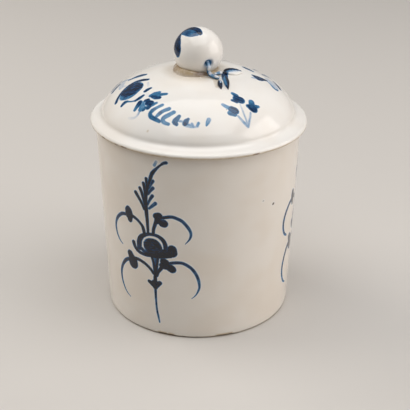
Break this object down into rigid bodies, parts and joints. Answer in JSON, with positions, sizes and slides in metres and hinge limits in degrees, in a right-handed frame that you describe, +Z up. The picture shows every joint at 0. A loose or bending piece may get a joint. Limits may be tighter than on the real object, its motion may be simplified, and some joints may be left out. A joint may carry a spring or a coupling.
{
  "type": "covered ointment pot",
  "caption": "Cylindrical glazed ceramic pot with a drop-in domed lid that lifts off by a fruit knob with a stalk and leaves.",
  "frame": {"origin": "centre of the foot, on the surface that the pot stands on", "axes": "+Z up along the pot's axis; -Y towards the front, where the twig lies 25 degrees to the right"},
  "size_m": [0.066, 0.066, 0.0901],
  "materials": {
    "glazed_porcelain": "gloss",
    "stained_slip": "gloss",
    "cobalt_glaze": "gloss"
  },
  "bodies": {
    "pot": {"pot_body": "glazed_porcelain"},
    "lid": {"lid": "glazed_porcelain", "knob": "glazed_porcelain", "slip_bead": "stained_slip", "stalk": "cobalt_glaze", "side_twig": "cobalt_glaze", "upper_leaf": "cobalt_glaze", "long_leaf": "cobalt_glaze", "short_leaf": "cobalt_glaze"}
  },
  "joints": [
    {"name": "lid_lift", "type": "slide", "parent": "pot", "child": "lid", "axis": [0, 0, 1], "range_m": [0, 0.06]}
  ]
}
